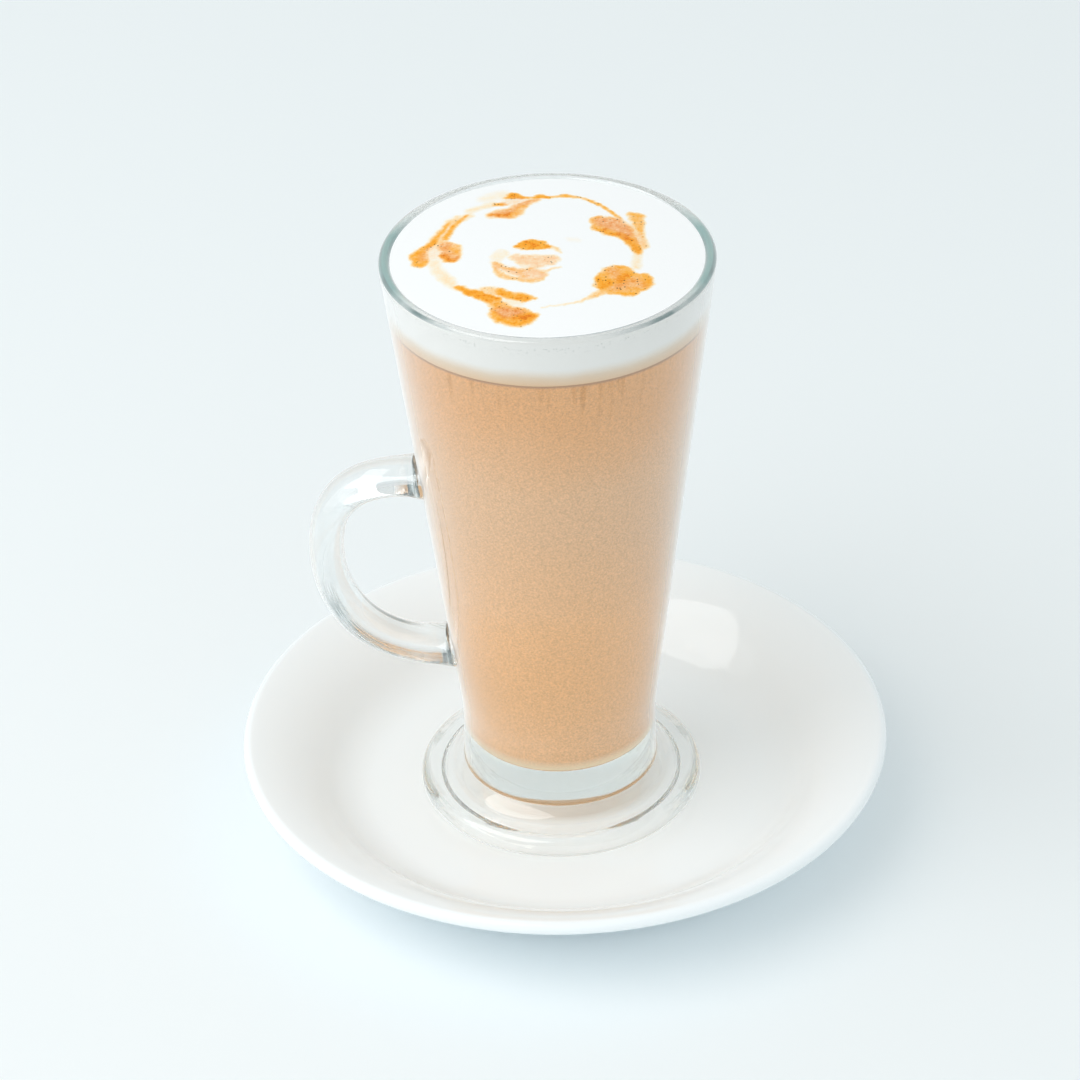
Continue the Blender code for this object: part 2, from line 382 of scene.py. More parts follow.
def cavity_profile(reach, top_z):
    """The bowl's inside, from its floor's middle up to top_z, pushed out into the wall by reach."""
    floor_z = CAVITY_FLOOR_Z - reach
    corner_r = CAVITY_CORNER_R + reach
    corner_z = floor_z + corner_r
    side_r = wall_r(corner_z) - WALL + reach
    corner = arc((side_r - corner_r, corner_z), corner_r, -90, 0, segments=12)
    above = [(wall_r(z) - WALL + reach, z) for z in (corner_z + MM, top_z - MM, top_z)]
    return [(0.0, floor_z), (0.5 * (side_r - corner_r), floor_z)] + corner + above


def glass_profile():
    """The glass's half outline: up the inside, over the rim, down to the foot and in under it."""
    rim_z = GLASS_H - RIM_ROUND
    inner_r = wall_r(rim_z) - WALL
    rim = arc((inner_r + RIM_ROUND, rim_z), RIM_ROUND, 180, 90, segments=8)
    rim += arc((wall_r(rim_z) - RIM_ROUND, rim_z), RIM_ROUND, 90, 0, segments=8)
    rim += [(wall_r(rim_z - MM), rim_z - MM)]
    cone_foot_z = GLASS_H - (MOUTH_R - NECK_R) / WALL_TAPER
    neck = [(wall_r(cone_foot_z + NECK_BLEND), cone_foot_z + NECK_BLEND)]
    neck += [(NECK_R, cone_foot_z - NECK_BLEND), (NECK_R, NECK_FOOT_Z + NECK_FILLET_R + MM)]
    neck += arc((NECK_R + NECK_FILLET_R, NECK_FOOT_Z + NECK_FILLET_R), NECK_FILLET_R, 180, 255, segments=8)
    foot = [(FOOT_DISH_R - inward * MM, FOOT_DISH_Z + up * MM) for inward, up in FOOT_DISH_RISE]
    foot += arc((FOOT_R - FOOT_EDGE_R, FOOT_EDGE_Z), FOOT_EDGE_R, 92, -85, segments=24)
    foot += arc((STAND_INNER_R, PUNT_EDGE_Z), PUNT_EDGE_Z, 270, 190, segments=6)
    skirt_r = STAND_INNER_R - PUNT_EDGE_Z - PUNT_SKIRT_RUN
    for step in range(PUNT_STEPS + 1):
        share = step / PUNT_STEPS
        r = skirt_r + (PUNT_FLAT_R - skirt_r) * share
        swell = 1.6 * share - 0.6 * share ** 2
        foot.append((r, PUNT_EDGE_Z + PUNT_SKIRT_RISE + (PUNT_H - PUNT_EDGE_Z - PUNT_SKIRT_RISE) * swell))
    foot += [(r, PUNT_H) for r in (PUNT_FLAT_R - PUNT_FLAT_ROUND, 0.5 * PUNT_FLAT_R, 0.0)]
    return cavity_profile(0.0, rim_z)[:-1] + rim + neck + foot


def handle_path():
    """Points along the handle's middle, from the upper root to the lower, in the glass's X and Z."""
    top = (-(wall_r(HANDLE_TOP_Z) - HANDLE_EMBED), 0, HANDLE_TOP_Z)
    bottom = (-(wall_r(HANDLE_BOTTOM_Z) - HANDLE_EMBED), 0, HANDLE_BOTTOM_Z)
    reach = (-HANDLE_REACH, 0, HANDLE_REACH_Z)
    shoulder = (-HANDLE_REACH, 0, SHOULDER_PULL_Z)
    elbow = (-HANDLE_REACH, 0, ELBOW_PULL_Z)
    upper = interpolate_bezier(top, (-TOP_PULL[0], 0, TOP_PULL[1]), shoulder, reach, HANDLE_STATIONS)
    lower = interpolate_bezier(reach, elbow, (-BOTTOM_PULL[0], 0, BOTTOM_PULL[1]), bottom, HANDLE_STATIONS)
    return list(upper) + list(lower)[1:]


def root_flare(from_wall):
    """How much fuller than its middle the handle is at a distance from the wall."""
    return 1.0 + ROOT_FLARE * math.exp(-from_wall / ROOT_LENGTH)


def section_spot(place, along, across, inward, grow):
    """A point of the handle's oval section: across its width, and inward to the middle of the loop."""
    into_loop = Vector((-along.z, 0.0, along.x))
    return place + grow * (
        into_loop * inward * HANDLE_THICK / 2 + Vector((0, 1, 0)) * across * HANDLE_WIDTH / 2
    )


def handle_bmesh():
    """A ring of oval section extruded from station to station along the path, then capped."""
    path = handle_path()
    bm = bmesh.new()
    ring = bmesh.ops.create_circle(bm, cap_ends=False, segments=HANDLE_SIDES, radius=1.0)["verts"]
    edges = list(bm.edges)
    section = [(v.co.x, v.co.y) for v in ring]
    for step, place in enumerate(path):
        before = path[max(step - 1, 0)]
        after = path[min(step + 1, len(path) - 1)]
        along = (after - before).normalized()
        grow = root_flare(max(-place.x - wall_r(place.z), 0.0))
        if step:
            extruded = bmesh.ops.extrude_edge_only(bm, edges=edges)["geom"]
            ring = [g for g in extruded if isinstance(g, bmesh.types.BMVert)]
            edges = [g for g in extruded if isinstance(g, bmesh.types.BMEdge)]
        for v, (across, inward) in zip(ring, section):
            v.co = section_spot(place, along, across, inward, grow)
    bmesh.ops.holes_fill(bm, edges=bm.edges, sides=0)
    bmesh.ops.recalc_face_normals(bm, faces=bm.faces)
    bmesh.ops.translate(bm, verts=bm.verts, vec=GLASS_AXIS)
    return bm


def place_along_handle(mesh):
    """Store on the handle's points how far along it and how far round it they lie.

    Along runs from 0 at the upper root to 1 at the lower. Round is in half turns: 0 faces the
    front, 0.5 the inside of the loop, -0.5 its outside. The third number is 1 on the handle.
    """
    co = np.empty(3 * len(mesh.vertices))
    mesh.vertices.foreach_get("co", co)
    co = co.reshape(-1, 3) - np.array(GLASS_AXIS)
    wall = MOUTH_R - WALL_TAPER * (GLASS_H - co[:, 2])
    beyond = np.hypot(co[:, 0], co[:, 1]) > wall + WALL_SKIN
    beyond &= (co[:, 2] > HANDLE_BAND_Z[0]) & (co[:, 2] < HANDLE_BAND_Z[1])
    middle = np.array(handle_path())
    along = np.gradient(middle, axis=0)
    along /= np.linalg.norm(along, axis=1)[:, None]
    picked = co[beyond]
    nearest = np.linalg.norm(picked[:, None] - middle[None], axis=2).argmin(axis=1)
    off = picked - middle[nearest]
    inside = (-along[nearest, 2] * off[:, 0] + along[nearest, 0] * off[:, 2]) / HANDLE_THICK
    front = -picked[:, 1] / HANDLE_WIDTH
    values = np.zeros((len(co), 3))
    values[beyond, 0] = nearest / (len(middle) - 1)
    values[beyond, 1] = np.arctan2(inside, front) / math.pi
    values[beyond, 2] = 1.0
    mesh.attributes.new("handle_place", "FLOAT_VECTOR", "POINT").data.foreach_set("vector", values.ravel())


# the glass's finish: its tints and its painted shade on rim, handle and bead, and for each painted line the
# two readings where it starts and is full;
# a rate is how many times a cloudy pattern changes in a metre, and a cloud the part of it that counts
GLASS_IOR = 1.52
GLASS_SHEEN_ROUGHNESS = 0.4
GLASS_DEPTH_COLOUR = (0.75, 0.90, 0.89)
GLASS_DEPTH_DENSITY = 10.0
CLEAR = (1.0, 1.0, 1.0)
TINTED_CLEARNESS = 0.12  # what a fully tinted spot still lets through
RIM_SHADE_TINT = (0.205, 0.37, 0.355)
RIM_EDGE_ON = (0.42, 0.72)
RIM_DEPTH = (1.0 * MM, 0.6 * MM)
RIM_SHADE_LINE = (0.13, 0.20, 0.20)
LINE_BREAK_RATE = 110.0
LINE_BREAK_CLOUD = (0.35, 0.62)
LINE_BREAK_SHARE = 0.35
INNER_LINE_R = (MOUTH_R - WALL + 0.75 * MM, MOUTH_R - WALL + 0.35 * MM)
INNER_LINE_DEPTH = (1.4 * MM, 1.0 * MM)
INNER_LINE_BEHIND = 0.15
BACK_TO_FRONT_Y = (0.6 * MOUTH_R, -0.8 * MOUTH_R)
FRONT_WIDENING = 0.6 * MM
OUTER_LINE_R = (MOUTH_R - 1.1 * MM, MOUTH_R - 0.8 * MM)
OUTER_LINE_DEPTH = (1.0 * MM, 0.7 * MM)
OUTER_LINE_EDGE_ON = (0.16, 0.34)
HANDLE_SHADE_TINT = (0.20, 0.27, 0.27)
HANDLE_INNER_SHADE_TURN = 0.575
INNER_SHADE_HALF_WIDTH = (0.06, 0.03)
INNER_SHADE_START, INNER_SHADE_END = (0.47, 0.64), (0.92, 0.85)
HANDLE_STREAK_TURN = -0.07
HANDLE_STREAK_HALF_WIDTH = (0.17, 0.12)
HANDLE_STREAK_START, HANDLE_STREAK_END = (0.55, 0.64), (0.93, 0.84)
HANDLE_STREAK_RATES = (9.0, 34.0)
HANDLE_STREAK_CLOUD = (0.44, 0.56)
HANDLE_STREAK_END_SHARE = 0.35
HANDLE_STREAK_SHARE = 0.8
BEAD_SHADE_TINT = (0.46, 0.55, 0.55)
BEAD_STREAK_RATES = (9.0, 1500.0, 900.0)
BEAD_STREAK_CLOUD = (0.42, 0.56)
BEAD_STREAK_SIDE = (0.74, 0.90)
BEAD_STREAK_R = (FOOT_R - 2.4 * MM, FOOT_R - 1.4 * MM)
BEAD_STREAK_Z = (GLASS_AXIS.z + FOOT_DISH_Z + 3 * MM, GLASS_AXIS.z + FOOT_DISH_Z + MM)
BEAD_STREAK_SHARE = 0.6


def maths(operation, first, second=None):
    """A Math node's value from sockets or numbers."""
    tree = next(given.id_data for given in (first, second) if isinstance(given, bpy.types.NodeSocket))
    made = tree.nodes.new("ShaderNodeMath")
    made.operation = operation
    for socket, given in zip(made.inputs, (first, second)):
        if isinstance(given, bpy.types.NodeSocket):
            tree.links.new(given, socket)
        elif given is not None:
            socket.default_value = given
    return made.outputs[0]


def product(first, *others):
    """Sockets and numbers multiplied together."""
    for other in others:
        first = maths("MULTIPLY", first, other)
    return first


def strongest(first, *others):
    """The greatest of several sockets."""
    for other in others:
        first = maths("MAXIMUM", first, other)
    return first


def apart(first, second):
    """How far two readings lie from each other."""
    return maths("ABSOLUTE", maths("SUBTRACT", first, second))


def vector_maths(operation, given, reading):
    """One of a Vector Math node's readings of a single vector."""
    made = given.id_data.nodes.new("ShaderNodeVectorMath")
    made.operation = operation
    given.id_data.links.new(given, made.inputs[0])
    return made.outputs[reading]


def stretched(sockets, rates):
    """A place made of up to three sockets, each multiplied by its own rate."""
    rated = [product(socket, rate) for socket, rate in zip(sockets, rates)]
    return add_node(rated[0].id_data, "ShaderNodeCombineXYZ", **dict(zip("XYZ", rated))).outputs[0]


def stored(tree, name):
    """A node that reads what the mesh's points store under a name."""
    made = tree.nodes.new("ShaderNodeAttribute")
    made.attribute_name = name
    return made


glass_material, glass_tree, glass_shader = new_material(
    "clear_glass", CLEAR, 0.0, Transmission_Weight=1.0, IOR=GLASS_IOR, Coat_Weight=1.0, Coat_Roughness=0.0,
    Sheen_Weight=1.0, Sheen_Roughness=GLASS_SHEEN_ROUGHNESS,
)
glass_place = object_place(glass_tree)
glass_x, glass_y, glass_z = axes(glass_place)
from_middle_x = maths("SUBTRACT", glass_x, GLASS_AXIS.x)
from_middle = add_node(glass_tree, "ShaderNodeCombineXYZ", X=from_middle_x, Y=glass_y).outputs[0]
from_axis = vector_maths("LENGTH", from_middle, "Value")
edge_on = add_node(
    glass_tree, "ShaderNodeLayerWeight", Blend=0.5, Normal=vector_maths("NORMALIZE", from_middle, "Vector")
).outputs["Facing"]


def near_rim(start, full):
    """1 at the rim's top, fading out between two depths under it."""
    rim_top_z = GLASS_AXIS.z + GLASS_H
    return map_range(glass_z, rim_top_z - start, rim_top_z - full)


# painted shade: where it is seen along its wall rather than across it, the rim is painted an opaque
# grey-green, for the glass's depth and the dark its wall refracts
rim_shade = product(map_range(edge_on, *RIM_EDGE_ON), near_rim(*RIM_DEPTH))

# painted shade: its inner edge is a thin dark line all round, its outer edge one only left and right of the
# front, standing in for the dark the rim's rounding refracts
line_cloud = noise_texture(glass_place, LINE_BREAK_RATE, 3.0)
line_break = map_range(line_cloud, *LINE_BREAK_CLOUD, LINE_BREAK_SHARE, 1.0)
to_front = map_range(glass_y, *BACK_TO_FRONT_Y)
widening = map_range(to_front, 0.6, 1.0, 0.0, FRONT_WIDENING)
inner_shade_line = product(
    map_range(maths("SUBTRACT", from_axis, widening), *INNER_LINE_R),
    map_range(to_front, 0.0, 0.6, INNER_LINE_BEHIND, 1.0),
    near_rim(*INNER_LINE_DEPTH),
)
outer_shade_line = product(
    map_range(from_axis, *OUTER_LINE_R), near_rim(*OUTER_LINE_DEPTH), map_range(edge_on, *OUTER_LINE_EDGE_ON)
)
rim_shade_lines = product(strongest(inner_shade_line, outer_shade_line), line_break)

# painted shade: a fine dark line along the handle's lower inside, and cloudy dark streaks along its front,
# stand in for the dark the handle refracts
along_handle, round_handle, on_handle = axes(stored(glass_tree, "handle_place").outputs["Vector"])
handle_inner_shade = product(
    map_range(apart(round_handle, HANDLE_INNER_SHADE_TURN), *INNER_SHADE_HALF_WIDTH),
    on_handle,
    map_range(along_handle, *INNER_SHADE_START),
    map_range(along_handle, *INNER_SHADE_END),
)
handle_streak_place = stretched((along_handle, round_handle), HANDLE_STREAK_RATES)
handle_shade_streaks = product(
    map_range(noise_texture(handle_streak_place, 1.0, 3.0, 0.6), *HANDLE_STREAK_CLOUD),
    map_range(apart(round_handle, HANDLE_STREAK_TURN), *HANDLE_STREAK_HALF_WIDTH),
    map_range(along_handle, *HANDLE_STREAK_START),
    map_range(along_handle, *HANDLE_STREAK_END, HANDLE_STREAK_END_SHARE, 1.0),
    on_handle,
)
handle_painted_shade = strongest(handle_inner_shade, product(handle_shade_streaks, HANDLE_STREAK_SHARE))

# and painted dark streaks run round the foot's bead, left and right, in place of the shade it refracts there
bead_side = maths("DIVIDE", maths("ABSOLUTE", from_middle_x), from_axis)
bead_place = stretched((bead_side, from_axis, glass_z), BEAD_STREAK_RATES)
bead_shade_streaks = product(
    map_range(noise_texture(bead_place, 1.0, 2.0), *BEAD_STREAK_CLOUD),
    map_range(bead_side, *BEAD_STREAK_SIDE),
    map_range(from_axis, *BEAD_STREAK_R),
    map_range(glass_z, *BEAD_STREAK_Z),
    BEAD_STREAK_SHARE,
)

# the painted shade tints the clear glass, and where it is full only a little light passes
glass_tone = blend_colour(rim_shade, CLEAR, RIM_SHADE_TINT)
glass_tone = blend_colour(rim_shade_lines, glass_tone, RIM_SHADE_LINE)
glass_tone = blend_colour(bead_shade_streaks, glass_tone, BEAD_SHADE_TINT)
glass_tone = blend_colour(handle_painted_shade, glass_tone, HANDLE_SHADE_TINT)
tinted = strongest(rim_shade, rim_shade_lines, strongest(handle_painted_shade, bead_shade_streaks))
clearness = map_range(tinted, 0.0, 1.0, 1.0, TINTED_CLEARNESS)
set_inputs(glass_shader, Base_Color=glass_tone, Transmission_Weight=clearness)

# light on its way to other things passes the glass unbent
glass_open = glass_tree.nodes.new("ShaderNodeBsdfTransparent")
glass_ray = glass_tree.nodes.new("ShaderNodeLightPath")
glass_surface = glass_shader.outputs["BSDF"]
for ray in ("Is Shadow Ray", "Is Diffuse Ray"):
    glass_pass = glass_tree.nodes.new("ShaderNodeMixShader")
    given = (glass_ray.outputs[ray], glass_surface, glass_open.outputs[0])
    for source, socket in zip(given, glass_pass.inputs):
        glass_tree.links.new(source, socket)
    glass_surface = glass_pass.outputs[0]
glass_depth = add_node(
    glass_tree, "ShaderNodeVolumeAbsorption", Color=GLASS_DEPTH_COLOUR, Density=GLASS_DEPTH_DENSITY
).outputs["Volume"]
set_inputs(glass_tree.nodes["Material Output"], Surface=glass_surface, Volume=glass_depth)

glass = mesh_piece("glass_body", spun(glass_profile(), TURN_STEPS, GLASS_AXIS), glass_material)
handle = mesh_piece("handle", handle_bmesh(), glass_material)
fuse = glass.modifiers.new("handle", "BOOLEAN")
fuse.operation = "UNION"
fuse.solver = "EXACT"
fuse.object = handle
bpy.context.view_layer.update()
graph = bpy.context.evaluated_depsgraph_get()
fused_mesh = bpy.data.meshes.new_from_object(glass.evaluated_get(graph))
fused_mesh.name = "glass_body"
glass.modifiers.remove(fuse)
glass.data = fused_mesh
bpy.data.objects.remove(handle, do_unlink=True)
glass.data.shade_smooth()
glass.data.set_sharp_from_angle(angle=math.radians(CREASE_ANGLE))
place_along_handle(glass.data)
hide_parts("glass")
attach(glass, "root")

# ---------------------------------------------------------------------------
# Handle's root shade: a thin crinkled skin shut in the glass inside each root,
# a dark sheet painted in for the shade the roots refract. It is smoky, with paler flecks.
# ---------------------------------------------------------------------------
ROOT_SHADE_THICK = 0.7 * MM
ROOT_SHADE_GAP = 0.7 * MM
ROOT_SHADE_SHARE = 0.94
ROOT_SHADE_CRINKLE = 0.35 * MM
ROOT_SHADE_CRINKLE_RATE = 420.0
ROOT_SHADE_COLOUR = (0.3, 0.35, 0.35)
ROOT_SHADE_ROUGHNESS = 0.2
ROOT_SHADE_STOPS = (
    (0.44, (0.05, 0.08, 0.085)),
    (0.53, (0.26, 0.31, 0.31)),
    (0.62, (0.70, 0.76, 0.76)),
)


def root_shade_bmesh():
    """Two thin oval skins, each bent to the wall inside a root of the handle."""
    path = handle_path()
    bm = bmesh.new()
    for stations in (path, path[::-1]):
        at = next(i for i, p in enumerate(stations) if -p.x - wall_r(p.z) > ROOT_SHADE_GAP)
        along = (stations[at + 1] - stations[at - 1]).normalized()
        grow = ROOT_SHADE_SHARE * root_flare(ROOT_SHADE_GAP)
        skin = bmesh.ops.create_uvsphere(bm, u_segments=48, v_segments=24, radius=1.0)["verts"]
        for v in skin:
            deep, across, inward = v.co
            spot = section_spot(stations[at], along, across, inward, grow)
            crinkle = noise.noise(spot * ROOT_SHADE_CRINKLE_RATE) * ROOT_SHADE_CRINKLE
            reach = wall_r(spot.z) + ROOT_SHADE_GAP + deep * ROOT_SHADE_THICK / 2 + crinkle
            v.co = (-math.sqrt(reach ** 2 - spot.y ** 2), spot.y, spot.z)
    bmesh.ops.recalc_face_normals(bm, faces=bm.faces)
    bmesh.ops.translate(bm, verts=bm.verts, vec=GLASS_AXIS)
    return bm


root_shade_material, root_shade_tree, root_shade_shader = new_material("root_shade_skin", ROOT_SHADE_COLOUR, ROOT_SHADE_ROUGHNESS)
root_shade_flecks = noise_texture(object_place(root_shade_tree), ROOT_SHADE_CRINKLE_RATE, 3.0)
set_inputs(root_shade_shader, Base_Color=colour_ramp(root_shade_flecks, ROOT_SHADE_STOPS))
root_shade_skins = mesh_piece("handle_root_shade", root_shade_bmesh(), root_shade_material)
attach(root_shade_skins, "root")

# ---------------------------------------------------------------------------
# Coffee: milk and espresso, opaque and pale brown, filling the bowl from its
# rounded floor to the foam and reaching just into the wall. It is darkest
# right under the foam, where thin brown streaks sink, and grainy all over.
# ---------------------------------------------------------------------------
INTO_WALL = 0.25 * MM
COFFEE_TOP_Z = 134.4 * MM
DRINK_CREASE_ANGLE = 50.0
COFFEE_ROUGHNESS = 0.45
COFFEE_UPPER = (0.73, 0.365, 0.140)
COFFEE_MIDDLE = (0.73, 0.43, 0.225)
COFFEE_LOWER = (0.80, 0.43, 0.185)
COFFEE_STOPS = (
    (0.0, (0.78, 0.445, 0.215)),
    (0.22, COFFEE_LOWER),
    (0.36, COFFEE_LOWER),
    (0.60, COFFEE_MIDDLE),
    (0.72, COFFEE_MIDDLE),
    (0.93, COFFEE_UPPER),
    (1.0, COFFEE_UPPER),
)
CLOUD_RATE = 28.0
CLOUD_STIR = 0.03
STREAK_COLOUR = (0.60, 0.27, 0.07)
STREAK_Z = (coffee_high.z - 14 * MM, coffee_high.z - 1.5 * MM)
STREAK_RATES = (26.0, 45.0)  # round the glass, and down it
STREAK_CLOUD = (0.53, 0.66)
STREAK_PATCH_RATE = 55.0
STREAK_PATCH_CLOUD = (0.42, 0.62)
STREAK_SHARE = 0.95
GRAIN_RATE = 2300.0
GRAIN_CLOUD = (0.3, 0.7)
GRAIN_SHADES = (0.80, 1.14)
FLOOR_PALE = (0.90, 0.74, 0.52)
FLOOR_PALE_SHARE = 0.8
FLOOR_PALE_Z = (coffee_low.z + 4.6 * MM, coffee_low.z + 1.6 * MM)
FLOOR_UNDER_Z = (coffee_low.z + 0.5 * MM, coffee_low.z + 1.3 * MM)
TOP_LINE = (0.42, 0.22, 0.11)
TOP_LINE_Z = (coffee_high.z - 0.9 * MM, coffee_high.z - 0.3 * MM)

coffee_material, coffee_tree, coffee_shader = new_material(
    "milky_coffee", COFFEE_MIDDLE, COFFEE_ROUGHNESS, Specular_IOR_Level=0.0
)
coffee_place = object_place(coffee_tree)
coffee_x, coffee_y, coffee_z = axes(coffee_place)
stir = product(maths("SUBTRACT", noise_texture(coffee_place, CLOUD_RATE, 3.0), 0.5), CLOUD_STIR)
coffee_level = map_range(maths("ADD", coffee_z, stir), coffee_low.z, coffee_high.z)
coffee_tone = colour_ramp(coffee_level, COFFEE_STOPS)

streak_place = stretched((maths("ARCTAN2", coffee_y, coffee_x), coffee_z), STREAK_RATES)
streaks = product(
    map_range(noise_texture(streak_place, 1.0, 2.0, 0.6), *STREAK_CLOUD, 0.0, STREAK_SHARE),
    map_range(coffee_z, *STREAK_Z),
    map_range(noise_texture(coffee_place, STREAK_PATCH_RATE, 1.0), *STREAK_PATCH_CLOUD),
)
coffee_tone = blend_colour(streaks, coffee_tone, STREAK_COLOUR)

grain = map_range(noise_texture(coffee_place, GRAIN_RATE), *GRAIN_CLOUD, *GRAIN_SHADES)
grain_grey = add_node(coffee_tree, "ShaderNodeCombineColor", Red=grain, Green=grain, Blue=grain).outputs[0]
coffee_tone = blend_colour(1.0, coffee_tone, grain_grey, "MULTIPLY")

# it pales round the curve of its floor but stays brown underneath, and ends in a thin brown line
floor_pale = product(
    map_range(coffee_z, *FLOOR_PALE_Z, 0.0, FLOOR_PALE_SHARE), map_range(coffee_z, *FLOOR_UNDER_Z)
)
coffee_tone = blend_colour(floor_pale, coffee_tone, FLOOR_PALE)
coffee_tone = blend_colour(map_range(coffee_z, *TOP_LINE_Z), coffee_tone, TOP_LINE)
set_inputs(coffee_shader, Base_Color=coffee_tone)

coffee_profile = cavity_profile(INTO_WALL, COFFEE_TOP_Z) + [(0.0, COFFEE_TOP_Z)]
coffee = mesh_piece("coffee_drink", spun(coffee_profile, TURN_STEPS, GLASS_AXIS), coffee_material)
coffee.data.set_sharp_from_angle(angle=math.radians(DRINK_CREASE_ANGLE))
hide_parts("coffee")
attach(coffee, "root")

# ---------------------------------------------------------------------------
# Foam: dense white steamed milk that fills the glass to its brim and turns
# beige where it meets the coffee. Crema and syrup were dropped on it and
# drawn with a pick into five split hearts, a swirl and a thin ring.
# ---------------------------------------------------------------------------
FOAM_EDGE_Z = 146.9 * MM
FOAM_CROWN_Z = 147.9 * MM
FOAM_STEPS = 512
FOAM_RINGS = 118
FOAM_FOOT_Z = GLASS_AXIS.z + COFFEE_TOP_Z
FOAM_TOP_Z = GLASS_AXIS.z + FOAM_EDGE_Z
FOAM_WHITE = (0.93, 0.935, 0.94)
FOAM_ROUGHNESS = 0.6
FOAM_SHINE = 0.12
FOAM_GRAIN_RATE = 1400.0
FOAM_GRAIN_STRENGTH = 0.25
FOAM_GRAIN_DEPTH = 0.15 * MM
BEIGE_DEPTH = 4.6 * MM
SIDE_STOPS = (
    (0.0, (0.70, 0.465, 0.27)),
    (0.45, (0.71, 0.57, 0.43)),
    (0.8, (0.78, 0.73, 0.67)),
    (1.0, (0.80, 0.785, 0.76)),
)
SAG_RATE = 60.0
SAG_DEPTH = 3.0 * MM
BUBBLE_TONE = (0.42, 0.43, 0.40)
BUBBLE_RATE = 1700.0
BUBBLE_EDGE, BUBBLE_DRAW = (0.36, 0.22), (0.35, 0.60)
BUBBLE_START_Z = (FOAM_TOP_Z - 4.6 * MM, FOAM_TOP_Z - 2.4 * MM)
BUBBLE_END_Z = (FOAM_TOP_Z - 1.9 * MM, FOAM_TOP_Z - 2.1 * MM)
BUBBLE_SHARE = 0.6
TOP_FACE_Z = (FOAM_TOP_Z - 0.06 * MM, FOAM_TOP_Z - 0.01 * MM)
ORANGE_STOPS = (
    (0.0, FOAM_WHITE),
    (0.125, (0.95, 0.84, 0.66)),
    (0.25, (0.97, 0.71, 0.41)),
    (0.375, (0.97, 0.61, 0.27)),
    (0.50, (0.97, 0.52, 0.155)),
    (0.625, (0.96, 0.45, 0.063)),
    (0.75, (0.95, 0.37, 0.022)),
    (0.875, (0.85, 0.24, 0.010)),
    (1.0, (0.63, 0.125, 0.005)),
)
PINK_STOPS = (
    (0.0, FOAM_WHITE),
    (0.125, (0.95, 0.86, 0.76)),
    (0.25, (0.96, 0.74, 0.53)),
    (0.375, (0.95, 0.61, 0.37)),
    (0.50, (0.92, 0.50, 0.24)),
    (0.667, (0.86, 0.33, 0.10)),
    (0.875, (0.69, 0.16, 0.025)),
    (1.0, (0.52, 0.11, 0.015)),
)
STAIN_FULL = 1.2  # the strength at which the stops above end
MOTTLE_FINE = (2200.0, 0.14)  # rate, and how far it shifts the strength
MOTTLE_BROAD = (650.0, 0.16)
MOTTLE_CLOUD = (0.25, 0.75)
MOTTLE_STAIN = (0.03, 0.5)
SHOWING_STAIN = (0.0, 0.06)
SPECK_COLOUR = (0.07, 0.022, 0.008)
SPECK_RATE = 1250.0
SPECK_EDGE, SPECK_DRAW = (0.29, 0.20), (0.56, 0.62)
SPECK_STAIN = (0.2, 0.45)
SPECK_PATCH_RATE = 190.0
SPECK_PATCH_CLOUD = (0.40, 0.56)
SPECK_SHARE = 0.9
# how the hand strays, in millimetres: how far, over what length, and which layer of the noise;
# the noise is drawn from one fixed seed, so that the strokes come out alike in every run
HAND_SEED = 1
HAND_WANDER = (0.45, 1.6, 3.7)
HAND_RIPPLE = (0.20, 0.6, 9.1)
EDGE_INSET = 0.17
PINK_STRENGTH = 0.2  # paler strokes leave the pinkness under them alone

